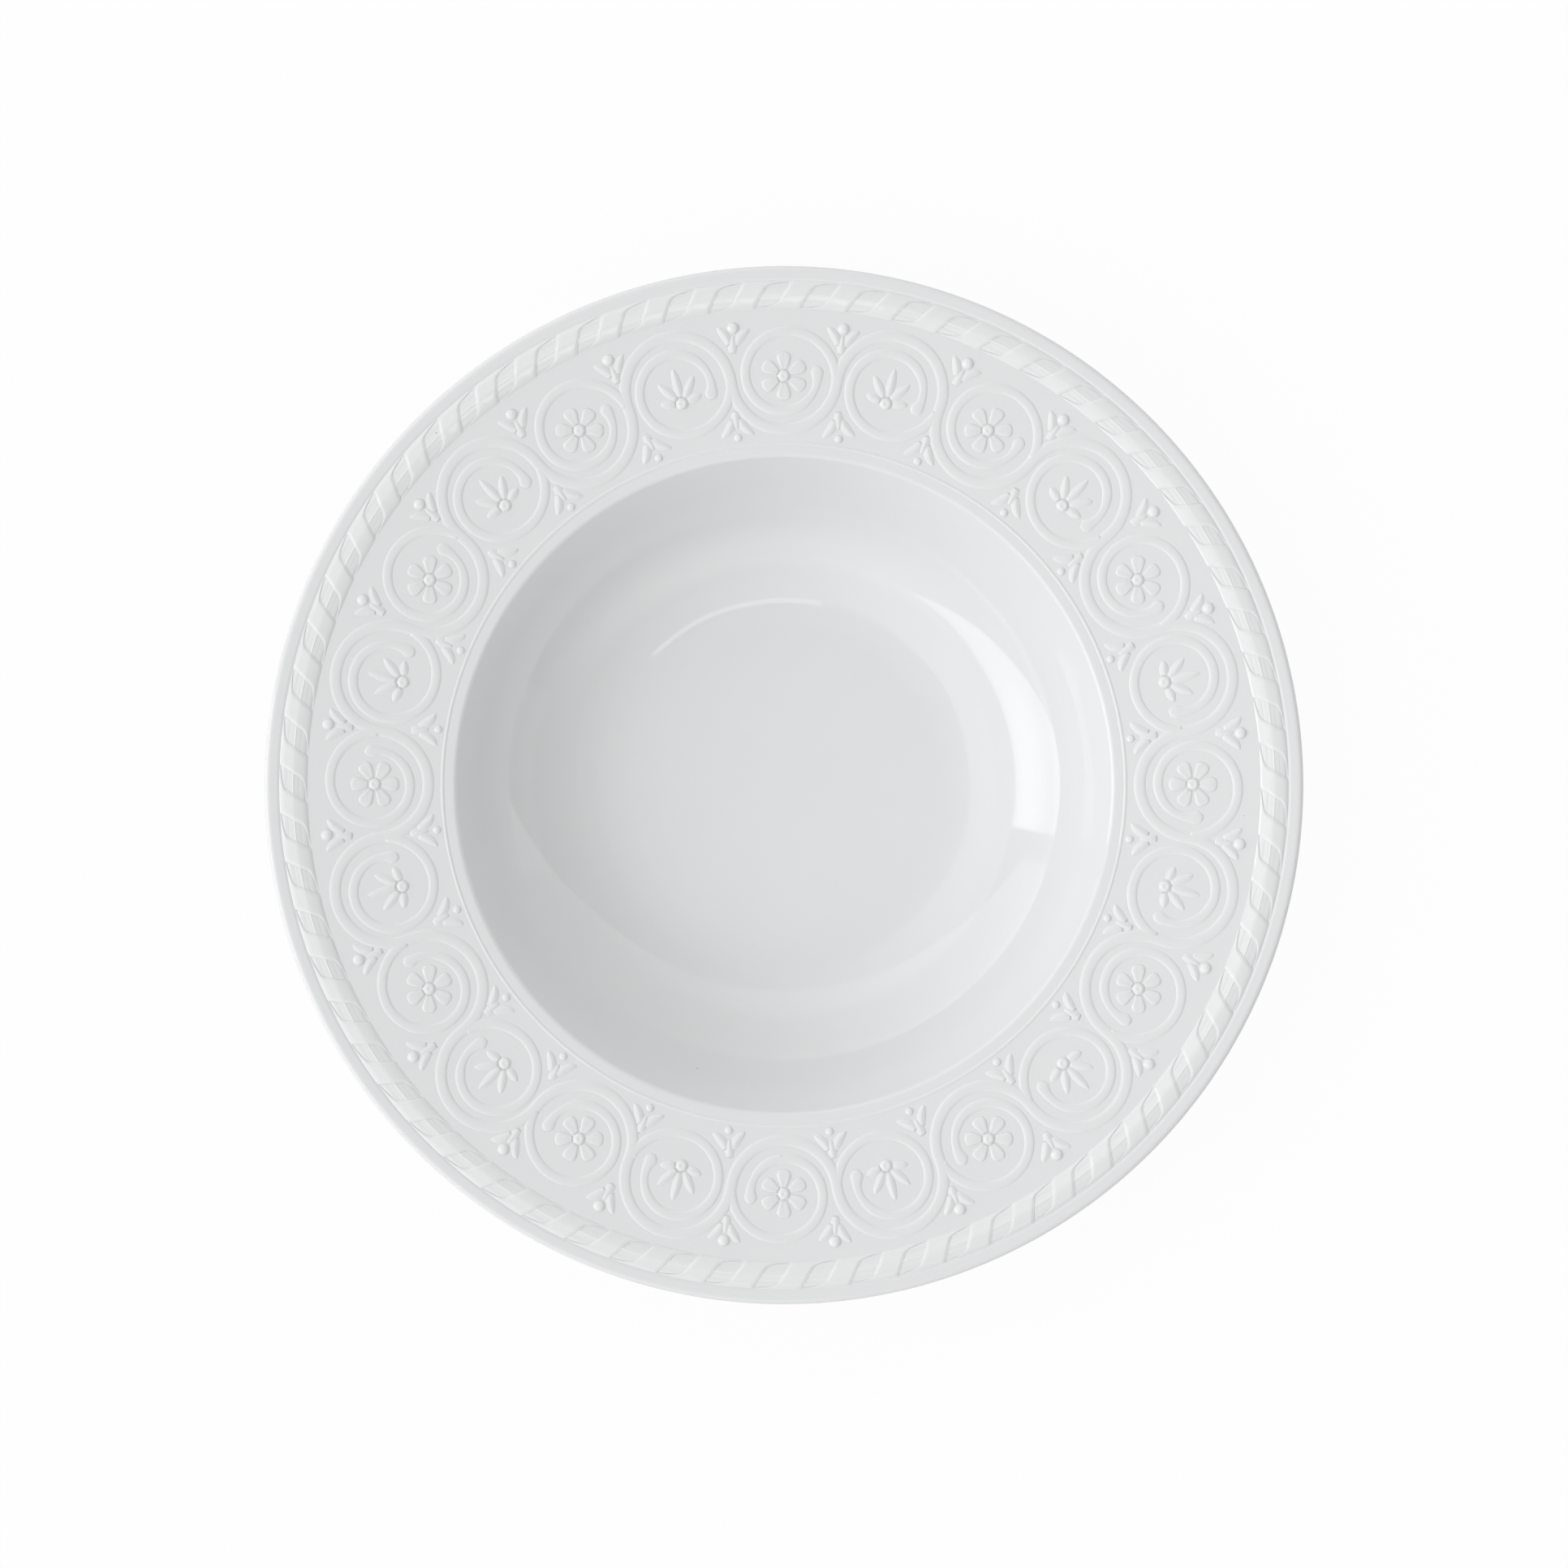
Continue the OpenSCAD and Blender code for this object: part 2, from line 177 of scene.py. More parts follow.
def direction(degrees):
    return np.array([math.cos(math.radians(degrees)), math.sin(math.radians(degrees))])


def unit(vectors):
    return vectors / np.linalg.norm(vectors, axis=-1, keepdims=True)


# Points of an arc: centre plus radius times (cos a, sin a), with a going evenly from one angle to the other
def arc(centre, radius, first, last, count):
    a = np.radians(np.linspace(first, last, count))
    return np.stack([centre[0] + radius * np.cos(a), centre[1] + radius * np.sin(a)], -1)


# The corner c between p and q rounded to a radius: an arc that touches both of its sides
def rounded(p, c, q, radius, count):
    u, v = unit(p - c), unit(q - c)
    half = math.acos(float(u @ v)) / 2
    middle = c + unit(u + v) * radius / math.sin(half)
    begin, end = c + u * radius / math.tan(half) - middle, c + v * radius / math.tan(half) - middle
    first = math.degrees(math.atan2(begin[1], begin[0]))
    turn = math.degrees(math.atan2(begin[0] * end[1] - begin[1] * end[0], begin @ end))
    return arc(middle, radius, first, first + turn, count)


# The ground of the rim is a cone: its height grows evenly with the distance from the axis
def rimZ(r):
    return vergeZ + (r - plate["wellRadius"]) * groundSlope


def onRim(plan, height):
    z = rimZ(np.hypot(plan[..., 0], plan[..., 1])) + height
    return np.concatenate([plan, z[..., None]], -1)


# The plan point at x clockwise and y outwards from the point at polar angle a, in degrees, and radius c
def local(a, c, x, y):
    cosA, sinA = np.cos(np.radians(a)), np.sin(np.radians(a))
    return np.stack([(c + y) * cosA + x * sinA, (c + y) * sinA - x * cosA], -1)


# Shares of the half width across a piece of relief, close together at its edges, with the fillet beyond
def acrossShares(count, flare):
    crown = np.sin(np.linspace(-1, 1, count) * math.pi / 2)
    fillet = 1 + flare * np.array([0.25, 0.6, 1.0])
    return np.concatenate([-fillet[::-1], crown, fillet])


# Height share across a stem: a crown (1 - |x|^power)^shoulder and a fillet that runs out on the ground,
# joined as the fourth root of crown^4 + fillet^4
def crownShare(x, power, shoulder, flare, filletShare):
    crown = np.clip(1 - np.abs(x) ** power, 0, 1) ** shoulder
    fillet = filletShare * np.clip((1 + flare - np.abs(x)) / (2 * flare), 0, 1) ** 2
    return (crown ** 4 + fillet ** 4) ** 0.25


# Carries a section along plan paths: path point plus the share times the half width, square to the path,
# raised by height above the ground. Two corners close the section inside the body.
def carried(paths, halfWidth, shares, height, closed=False):
    if closed:
        along = np.roll(paths, -1, axis=1) - np.roll(paths, 1, axis=1)
    else:
        along = np.gradient(paths, axis=1)
    along = unit(along)
    square = np.stack([-along[..., 1], along[..., 0]], -1)
    reach = np.broadcast_to(halfWidth, paths.shape[:2])[..., None] * shares
    plan = paths[:, :, None] + square[:, :, None] * reach[..., None]
    top = onRim(plan, np.broadcast_to(height, reach.shape) - sunk)
    under = top[:, :, [-1, 0]] - np.array([0, 0, buried])
    return np.concatenate([top, under], 2)


# Materials

# A socket of a shader tree that can stand in plain sums: each sum adds its Math node to the tree
class Wire:
    def __init__(self, tree, socket=None):
        self.tree, self.socket = tree, socket

    # Adds a node: its settings are set first, then its inputs by name or number
    def node(self, kind, settings=None, inputs=None, output=0):
        made = self.tree.nodes.new(kind)
        for key, value in (settings or {}).items():
            if key == "stops":
                stops = made.color_ramp.elements
                stops[0].color, stops[1].color = value[0][1], value[-1][1]
                for place, colour in value:
                    stops.new(place).color = colour
            else:
                setattr(made, key, value)
        for key, value in (inputs or {}).items():
            if isinstance(value, Wire):
                self.tree.links.new(value.socket, made.inputs[key])
            else:
                made.inputs[key].default_value = value
        return Wire(self.tree, made.outputs[output])

    def maths(self, operation, *values):
        return self.node("ShaderNodeMath", {"operation": operation}, dict(enumerate(values)))

    def __add__(self, other):
        return self.maths("ADD", self, other)

    def __sub__(self, other):
        return self.maths("SUBTRACT", self, other)

    def __rsub__(self, other):
        return self.maths("SUBTRACT", other, self)

    def __mul__(self, other):
        return self.maths("MULTIPLY", self, other)

    __radd__ = __add__
    __rmul__ = __mul__

    # 0 below low, 1 above high and a smooth rise between them
    def smoothstep(self, low, high):
        settings = {"interpolation_type": "SMOOTHSTEP"}
        return self.node("ShaderNodeMapRange", settings, {"Value": self, "From Min": low, "From Max": high})

    def noise(self, scale, detail=2.0, roughness=0.5):
        inputs = {"Vector": self, "Scale": scale, "Detail": detail, "Roughness": roughness}
        return self.node("ShaderNodeTexNoise", {}, inputs)

    # This wire is the share of the second colour
    def between(self, first, second):
        return self.node("ShaderNodeMix", {"data_type": "RGBA"}, {"Factor": self, 6: first, 7: second}, 2)

    def plug(self, shader, name):
        self.tree.links.new(self.socket, shader.inputs[name])


def newMaterial(name, roughness, ior):
    material = bpy.data.materials.new(name)
    material.use_nodes = True
    shader = material.node_tree.nodes["Principled BSDF"]
    shader.inputs["Roughness"].default_value = roughness
    shader.inputs["IOR"].default_value = ior
    place = Wire(material.node_tree).node("ShaderNodeTexCoord", output="Object")
    return material, shader, place


glaze = {
    "plainGlaze": (0.706, 0.710, 0.717, 1),    # the glaze's own colour, a little greyer than on the crests: in the hollows of the relief partly pooled glaze, partly painted shade
    "crestThinAndLit": (0.739, 0.742, 0.745, 1),     # lighter over the crests of the relief: partly thinner glaze, partly painted light
    "speck": (0.34, 0.33, 0.31, 1),
    "crestFoot": 0.1,        # heights over the rim at which the glaze begins to lighten and is lightest, for thinner glaze and painted light on the crests
    "crestHeight": 0.7,
    "bandBlur": 2.0,         # width inside the verge over which this lightening fades in
    "toneShare": 0.03,
    "cloudScale": 26,
    "fineCloudScale": 140,
    "fineCloudShare": 0.3,
    "speckScale": 150.0,
    "speckCore": 0.018,      # radii of a speck, in cells of its pattern
    "speckEdge": 0.034,
    "speckless": 0.9,        # share of the cells without a speck, and the share after it with a faint one
    "specklessBlur": 0.02,
    "roughness": 0.03,
    "roughnessWander": 0.02,
    "roughnessScale": 60,
    "ior": 1.6,
    "rippleHeight": 0.25,
    "rippleScale": 35,
    "peelHeight": 0.0005,
    "peelScale": 1500,
}


# Glaze over porcelain: lighter over crests of the relief, partly thinner glaze and partly painted light,
# with painted shade left in the hollows; faint cloudy tone, a few specks, soft ripples
def glazeMaterial(name):
    material, shader, place = newMaterial(name, glaze["roughness"], glaze["ior"])
    parts = place.node("ShaderNodeSeparateXYZ", inputs={0: place})
    z = Wire(place.tree, parts.socket.node.outputs["Z"])
    flat = place.node("ShaderNodeVectorMath", {"operation": "MULTIPLY"}, {0: place, 1: (1, 1, 0)})
    r = place.node("ShaderNodeVectorMath", {"operation": "LENGTH"}, {0: flat}, 1)
    ground = (r - plate["wellRadius"] * metre) * groundSlope + vergeZ * metre
    onBand = r.smoothstep((plate["wellRadius"] - glaze["bandBlur"]) * metre, plate["wellRadius"] * metre)
    # Painted light and shade: the colour lightens with height over the rim's ground, so crests are lighter
    # and hollows darker; partly thinner glaze, partly painted light
    crestThinningAndLight = (z - ground).smoothstep(glaze["crestFoot"] * metre, glaze["crestHeight"] * metre) * onBand
    fineCloud = place.noise(glaze["fineCloudScale"], 2) * glaze["fineCloudShare"]
    cloud = place.noise(glaze["cloudScale"], 3) * (1 - glaze["fineCloudShare"]) + fineCloud
    tone = 1 + (cloud - 0.5) * glaze["toneShare"]
    colour = crestThinningAndLight.between(glaze["plainGlaze"], glaze["crestThinAndLit"])
    cells = place.node("ShaderNodeTexVoronoi", {}, {"Vector": place, "Scale": glaze["speckScale"]})
    cellColour = Wire(place.tree, cells.socket.node.outputs["Color"])
    chance = place.node("ShaderNodeSeparateColor", inputs={0: cellColour})
    chosen = chance.smoothstep(glaze["speckless"], glaze["speckless"] + glaze["specklessBlur"])
    speck = (1 - cells.smoothstep(glaze["speckCore"], glaze["speckEdge"])) * chosen
    speckled = speck.between(colour, glaze["speck"])
    toned = place.node("ShaderNodeVectorMath", {"operation": "SCALE"}, {0: speckled, "Scale": tone})
    toned.plug(shader, "Base Color")
    rough = glaze["roughness"] + place.noise(glaze["roughnessScale"], 2) * glaze["roughnessWander"]
    rough.plug(shader, "Roughness")
    ripple = place.noise(glaze["rippleScale"], 1)
    peel = place.noise(glaze["peelScale"], 2)
    height = ripple * (glaze["rippleHeight"] * metre) + peel * (glaze["peelHeight"] * metre)
    bump = place.node("ShaderNodeBump", {}, {"Height": height, "Distance": 1.0, "Strength": 1.0})
    bump.plug(shader, "Normal")
    return material


bareClay = {
    "colour": (0.70, 0.68, 0.63, 1),
    "worn": (0.58, 0.565, 0.53, 1),
    "roughness": 0.62,
    "glazeLine": 0.75,      # height above the table at which the glaze was wiped away
    "glazeLineBlur": 0.12,
    "glazeLineWander": 0.5,
    "wanderScale": 90,
    "glazeThickness": 0.08,
    "grainScale": 2600,
    "grainDepth": 0.03,
    "wearScale": 70,
    "wearFrom": -0.05,
    "wearTo": 0.16,
}


# The foot: glaze on its sides, wiped off the face it stands on, where the bare clay has a fine grain
def footMaterial(name):
    material, shader, place = newMaterial(name, bareClay["roughness"], glaze["ior"])
    parts = place.node("ShaderNodeSeparateXYZ", inputs={0: place})
    z = Wire(place.tree, parts.socket.node.outputs["Z"])
    edge = z - (place.noise(bareClay["wanderScale"], 2) - 0.5) * (bareClay["glazeLineWander"] * metre)
    middle, blur = bareClay["glazeLine"], bareClay["glazeLineBlur"]
    glazed = edge.smoothstep((middle - blur) * metre, (middle + blur) * metre)
    grain = place.noise(bareClay["grainScale"], 3, 0.7)
    wear = place.noise(bareClay["wearScale"], 4) - 0.5
    wear = wear.smoothstep(bareClay["wearFrom"], bareClay["wearTo"]) * grain
    clay = wear.between(bareClay["colour"], bareClay["worn"])
    glazed.between(clay, glaze["plainGlaze"]).plug(shader, "Base Color")
    rough = (1 - glazed) * bareClay["roughness"] + glazed * glaze["roughness"]
    rough.plug(shader, "Roughness")
    rise = glazed * (bareClay["glazeThickness"] * metre)
    height = (1 - glazed) * grain * (bareClay["grainDepth"] * metre) + rise
    bump = place.node("ShaderNodeBump", {}, {"Height": height, "Distance": 1.0, "Strength": 1.0})
    bump.plug(shader, "Normal")
    return material


bodyGlaze = glazeMaterial("bodyGlaze")
reliefGlaze = glazeMaterial("reliefGlaze")
footClay = footMaterial("footClay")
print("materials made")


# The turned body

# Radius of the wall's arc, which leaves the floor level and ends at the wall's slope s:
# (run * sin(s) - depth * cos(s)) / (1 - cos(s))
def wallRadius():
    steep = math.radians(plate["wallSlope"])
    run, depth = plate["wellRadius"] - plate["floorRadius"], vergeZ - floorZ
    return (run * math.sin(steep) - depth * math.cos(steep)) / (1 - math.cos(steep))


# Half section from the middle of the floor, up the wall, over the verge, along the rim, round the lip
# and back along the under side to the middle
def bodyProfile():
    slope, inner = plate["wallSlope"], wallRadius()
    centre = (plate["floorRadius"], floorZ + inner)
    wall, ground = direction(slope), unit(np.array([1, groundSlope]))
    verge = np.array([plate["wellRadius"], vergeZ])
    flat = np.linspace(plate["flatMargin"], plate["floorRadius"] - plate["flatMargin"], plate["flatSteps"])
    floor = np.stack([flat, np.full(len(flat), floorZ)], -1)
    rimStart = rounded(verge - wall, verge, verge + ground, plate["vergeRound"], plate["vergeSteps"])
    margin = plate["rimMargin"]
    rimR = np.linspace(rimStart[-1, 0] + margin, lipInner - margin, plate["rimSteps"])
    lip = lipProfile()
    lipEnd, underRim = lip[-1], np.array([plate["wellRadius"], vergeZ - plate["thickness"]])
    offset = verge + plate["thickness"] * np.array([wall[1], -wall[0]])
    along = lipEnd - underRim
    share = ((underRim - offset) @ [-along[1], along[0]]) / (wall @ [-along[1], along[0]])
    corner = offset + wall * share
    outer = inner + plate["thickness"]
    under = rounded(lipEnd, corner, corner - wall, plate["underRound"], plate["underSteps"])
    shell = arc(centre, outer, slope - 90, -90, plate["shellSteps"])
    base = np.stack([flat[::-1], np.full(len(flat), plate["lift"])], -1)
    return np.concatenate([
        floor, arc(centre, inner, -90, slope - 90, plate["wallSteps"]), rimStart,
        np.stack([rimR, rimZ(rimR)], -1), lip,
        lipEnd + (under[0] - lipEnd) * np.linspace(*plate["underRimRows"])[:, None],
        under, shell, base])


# The lip: a small smooth step t * t * (3 - 2 * t) up from the ground and a straight, nearly level top, then
# over the outside a squarish ellipse, half sizes times cos and sin, each raised to a power below 1
def lipProfile():
    half = np.array([plate["lipWidth"], plate["edgeThickness"] + plate["lipHeight"]]) / 2
    middle = np.array([plate["radius"], plate["height"]]) - half
    start, reach = lipInner - plate["lipLead"], plate["lipFoot"]
    crown = np.array([middle[0] + plate["crownLead"], plate["height"] - plate["crownDrop"]])
    t = np.linspace(0, 1, plate["lipFootSteps"])
    r = start + reach * t
    foot = np.array([start, rimZ(start) + plate["lipStep"]])
    top = foot[1] + (crown[1] - foot[1]) * (r - start) / (crown[0] - start)
    rise = np.stack([r, rimZ(r) + (top - rimZ(r)) * t * t * (3 - 2 * t)], -1)
    level = rise[-1] + (crown - rise[-1]) * np.linspace(*plate["lipTopRows"])[:, None]
    a = np.radians(np.linspace(*plate["edgeAngles"], plate["lipSteps"]))
    power = lambda v: np.sign(v) * np.abs(v) ** plate["lipPower"]
    edge = np.stack([middle[0] + half[0] * power(np.cos(a)), middle[1] + half[1] * power(np.sin(a))], -1)
    return np.concatenate([rise, level, edge[edge[:, 0] > crown[0] + plate["edgeGap"]]])


# The profile turned round the axis, with a pole at each end of it
def makeBody():
    profile, turns = bodyProfile(), plate["turns"]
    shell = turned(profile).reshape(-1, 3)
    poles = np.array([[0, 0, profile[0, 1]], [0, 0, profile[-1, 1]]])
    count, top, bottom = len(profile), len(shell), len(shell) + 1
    i = np.arange(turns) * count
    after = np.roll(i, -1)
    faces = [gridFaces(1, turns, count, wrapRows=True, wrapCols=False),
             np.stack([np.full(turns, top), i, after], -1),
             np.stack([np.full(turns, bottom), after + count - 1, i + count - 1], -1)]
    addPiece("glazedBody", np.concatenate([shell, poles]), faces, bodyGlaze, "plate_body")


makeBody()


# The foot ring

foot = {"inner": 47.3, "faceInner": 48.7, "faceOuter": 51.3, "edgeRound": 0.7, "edgeSteps": 7,
        "blend": 1.3, "blendSteps": 8, "reach": 2.6, "lap": 0.03}


# Height of the body's under side at radius r, on the arc that is concentric with the well's wall:
# centre height less sqrt(outer^2 - (r - floor radius)^2)
def underZ(r):
    inner = wallRadius()
    return floorZ + inner - math.sqrt((inner + plate["thickness"]) ** 2 - (r - plate["floorRadius"]) ** 2)


# Section: a flat bearing face with rounded edges, flanks, and a fillet that blends each flank into the body
def makeFoot():
    outerR, reach, lap = plate["footRadius"], foot["reach"], [0, foot["lap"]]
    innerTop = np.array([foot["inner"], underZ(foot["inner"])])
    outerTop = np.array([outerR, underZ(outerR)])
    innerEdge = np.array([foot["faceInner"] - foot["edgeRound"], 0])
    outerEdge = np.array([foot["faceOuter"] + foot["edgeRound"], 0])
    innerFar = np.array([innerTop[0] - reach, underZ(innerTop[0] - reach)])
    outerFar = np.array([outerTop[0] + reach, underZ(outerTop[0] + reach)])
    outline = np.concatenate([
        rounded(innerFar, innerTop, innerEdge, foot["blend"], foot["blendSteps"]) + lap,
        rounded(innerTop, innerEdge, outerEdge, foot["edgeRound"], foot["edgeSteps"]),
        rounded(innerEdge, outerEdge, outerTop, foot["edgeRound"], foot["edgeSteps"]),
        rounded(outerEdge, outerTop, outerFar, foot["blend"], foot["blendSteps"]) + lap])
    lid = outline[[-1, 0]] + [0, buried * 2]
    addRing("footRing", np.concatenate([outline, lid]), footClay, "foot_ring")


makeFoot()


# The fine line round the verge band

line = {"radius": 79.0, "width": 0.9, "height": 0.15, "flare": 0.6, "power": 2.0, "shoulder": 0.9,
        "fillet": 0.3, "sectionPoints": 13}


# A turned bead: crown across its width, with fillets that run out on the rim
def makeLine():
    x = acrossShares(line["sectionPoints"], line["flare"])
    r = line["radius"] + x * line["width"] / 2
    h = line["height"] * crownShare(x, line["power"], line["shoulder"], line["flare"], line["fillet"])
    top = np.stack([r, rimZ(r) + h - sunk], -1)
    outline = np.concatenate([top, top[[-1, 0]] - [0, buried]])
    addRing("vergeLine", outline, reliefGlaze, "verge_line")


makeLine()


# The rope border: a ribbon wound round a ridged rod

rope = {
    "radius": 113.3,
    "width": 6.6,
    "wrap": 0.6,              # how far the ribbon reaches past the rod on each side
    "rodHeight": 0.6,
    "ridgeSoftness": 0.07,
    "edgeShare": 0.26,        # share of the height that is left at the border's edges
    "stepPower": 7,
    "stepShoulder": 0.8,
    "ridgeHeight": 0.07,
    "ridgeWidthShare": 0.045,
    "ridgeReachShare": 0.14,  # how far the rod's points lie close together beside the ridge
    "reedDepth": 0.025,
    "reedShare": 0.52,        # place and width of a groove, as shares of the half width
    "reedWidthShare": 0.07,
    "rodEndPower": 16,
    "ribbonEndPower": 12,
    "endShoulder": 0.7,
    "ribbonThickness": 0.16,
    "ribbonFlare": 0.13,
    "ribbonHollow": 0.22,
    "ribbonPower": 9,
    "ribbonShoulder": 0.6,
    "ribbonFillet": 0.5,
    "ribbonThinning": 0.6,    # share of its thickness that the ribbon loses towards the border's edges
    "turns": 65,
    "fill": 0.5,              # width, sweep and tails of the ribbon as shares of its pitch
    "sweep": 0.19,
    "tail": 0.42,
    "tailStart": 0.9,
    "tailPower": 9,
    "tailGain": 1.4,
    "rodPoints": 65,
    "ridgePoints": 15,
    "ribbonRows": 35,
    "ribbonPoints": 15,
}


# Height of the bed that rod and ribbon share: a roof with a narrow rounded ridge over a low step
def ropeBed(x):
    soft = rope["ridgeSoftness"]
    roof = 1 - (np.sqrt(x * x + soft * soft) - soft) / (math.sqrt(1 + soft * soft) - soft)
    step = np.clip(1 - np.abs(x) ** rope["stepPower"], 0, 1) ** rope["stepShoulder"]
    return rope["rodHeight"] * (rope["edgeShare"] * step + (1 - rope["edgeShare"]) * roof)


# The rod: the bed less a fine ridge's height, with a ridge in the middle and a shallow groove on each side
def makeRod():
    edge = 1 - rope["wrap"] / (rope["width"] / 2)
    x = np.sin(np.linspace(-1, 1, rope["rodPoints"]) * math.pi / 2) * edge
    fine = np.linspace(-rope["ridgeReachShare"], rope["ridgeReachShare"], rope["ridgePoints"])
    x = np.unique(np.round(np.concatenate([x, fine]), 4))
    fromReed = np.abs(x) - edge * rope["reedShare"]
    grooves = np.exp(-(fromReed / rope["reedWidthShare"]) ** 2) * rope["reedDepth"]
    ends = np.clip(1 - np.abs(x / edge) ** rope["rodEndPower"], 0, 1) ** rope["endShoulder"]
    beside = 1 - np.exp(-(x / rope["ridgeWidthShare"]) ** 2)
    h = ropeBed(x) - rope["ridgeHeight"] * beside - grooves
    r = rope["radius"] + rope["width"] / 2 * x
    top = np.stack([r, rimZ(r) + h * ends - sunk], -1)
    outline = np.concatenate([top, top[[-1, 0]] - [0, buried]])
    addRing("ropeRod", outline, reliefGlaze, "rope_rod")


# Share of the pitch by which the ribbon's edge runs out along the rod's side, growing towards x = 1:
# tail * (1 - exp(-gain * (x / start)^power))
def ribbonTail(x):
    growth = (np.clip(x, 0, 1) / rope["tailStart"]) ** rope["tailPower"]
    return rope["tail"] * (1 - np.exp(-rope["tailGain"] * growth))


# Ribbon: x runs across the border and s across the ribbon. Along the border a point lies at
# pitch * (sweep * x + fill * s / 2 + tail), and its height is the bed plus the ribbon's hollow section.
def makeRibbon():
    turns, half = rope["turns"], rope["width"] / 2
    pitch = 2 * math.pi * rope["radius"] / turns
    x = np.sin(np.linspace(-1, 1, rope["ribbonRows"]) * math.pi / 2)[:, None]
    s = acrossShares(rope["ribbonPoints"], rope["ribbonFlare"])[None, :]
    inside = np.clip(s, -1, 1)
    run = inside ** 2 * np.where(s > 0, ribbonTail(x), -ribbonTail(-x))
    u = pitch * (rope["sweep"] * x + rope["fill"] * s / 2 + run)
    power, shoulder = rope["ribbonPower"], rope["ribbonShoulder"]
    section = crownShare(s, power, shoulder, rope["ribbonFlare"], rope["ribbonFillet"])
    section = section * (1 - rope["ribbonHollow"] * (1 - inside ** 2))
    ends = np.clip(1 - np.abs(x) ** rope["ribbonEndPower"], 0, 1) ** rope["endShoulder"]
    h = ends * (ropeBed(x) + rope["ribbonThickness"] * section * (1 - rope["ribbonThinning"] * x ** 4))
    a = np.radians(np.arange(turns) * 360 / turns)[:, None, None] - u / rope["radius"]
    r = rope["radius"] + half * x
    top = onRim(np.stack([r * np.cos(a), r * np.sin(a)], -1), h - sunk)
    under = top[:, :, [-1, 0]] - np.array([0, 0, buried * 2])
    addTubes("ropeRibbon", [np.concatenate([top, under], 2)], reliefGlaze, "rope_ribbon")


makeRod()
makeRibbon()
print("rope border made")


# The vine: a stem that waves past a chain of circles, with a side stem coiled in each

vine = {
    "radius": 94.55,
    "circles": 24,
    "stemWidth": 2.8,
    "stemHeight": 0.26,
    "armWidth": 2.4,
    "armGap": 0.7,
    "armTurn": 385.0,
    "coilShare": 1.4,
    "armStart": 0.004,
    "flare": 0.3,
    "power": 3.0,
    "shoulder": 0.85,
    "fillet": 0.4,
    "armHeightShare": 0.95,
    "waist": (0.2, 0.88, 0.05),     # narrowing of a side stem: amount, place and width as shares
    "knob": (0.3, 0.97, 0.022),     # swelling at its end, in the same terms
    "knobHeightShare": 1.15,
    "tipStart": 0.975,
    "tipEnd": 1.0002,               # just past the last point, which so keeps a little width
    "tipHeightShare": 0.35,
    "stemSteps": 24,
    "armSteps": 76,
    "armSpacing": 1.25,
    "sectionPoints": 15,
}
circleStep = 360 / vine["circles"]
circleR = vine["radius"] * math.sin(math.radians(circleStep / 2))
touchR = vine["radius"] * math.cos(math.radians(circleStep / 2))
armDrop = (vine["stemWidth"] / 2 + vine["armWidth"] / 2 + vine["armGap"]) * vine["coilShare"]
circleK = np.arange(vine["circles"])[:, None]
circleSide = np.where(circleK % 2 == 0, 1, -1)


# Points at angle a, in degrees, and radius r on circle k. Odd circles are the mirror image of even ones.
def circlePoint(k, side, a, r):
    a = np.radians(a)
    return local(-k * circleStep, vine["radius"], r * np.cos(a), r * side * np.sin(a))


# A bell along a stem: amount * exp(-((t - place) / width)^2)
def bellShare(t, amount, place, width):
    return amount * np.exp(-((t - place) / width) ** 2)


# The stem goes under each even circle and over each odd one. A side stem starts in it at share 0 and coils
# inwards to share 1, where it swells into a small knob.
def makeVine():
    x = acrossShares(vine["sectionPoints"], vine["flare"])
    section = crownShare(x, vine["power"], vine["shoulder"], vine["flare"], vine["fillet"])
    lead = circleSide * circleStep / 2
    share = np.arange(vine["stemSteps"])[None, :] / vine["stemSteps"]
    wave = circlePoint(circleK, circleSide, 180 + lead + (180 - 2 * lead) * share, circleR)
    stemTop = vine["stemHeight"] * section
    stem = carried(wave.reshape(1, -1, 2), vine["stemWidth"] / 2, x, stemTop, closed=True)
    even = np.linspace(0, 1, vine["armSteps"])[None, :]
    t = vine["armStart"] + (1 - vine["armStart"]) * (1 - (1 - even) ** vine["armSpacing"])
    armR = circleR - armDrop * (1 - (1 - t) ** 2)
    arm = circlePoint(circleK, circleSide, vine["armTurn"] * t - lead, armR)
    swell = 1 - bellShare(t, *vine["waist"]) + bellShare(t, *vine["knob"])
    ending = np.clip(t - vine["tipStart"], 0, 1) / (vine["tipEnd"] - vine["tipStart"])
    tip = (1 - ending ** 2) ** 0.5
    tipHeight = vine["tipHeightShare"] + (1 - vine["tipHeightShare"]) * tip
    armHeight = vine["armHeightShare"] * np.minimum(swell, vine["knobHeightShare"]) * tipHeight
    arms = carried(arm, vine["armWidth"] / 2 * swell * tip, x, armHeight[..., None] * stemTop)
    stemFaces = gridFaces(1, stem.shape[1], stem.shape[2], wrapRows=True)
    armCount, rows, cols = arms.shape[:3]
    start = stem.shape[1] * stem.shape[2]
    points = np.concatenate([facingOut(stem).reshape(-1, 3), facingOut(arms).reshape(-1, 3)])
    faces = [stemFaces, gridFaces(armCount, rows, cols) + start, endFaces(armCount, rows, cols) + start]
    addPiece("vineScroll", points, faces, reliefGlaze, "vine_scroll")


makeVine()


# Leaves and petals

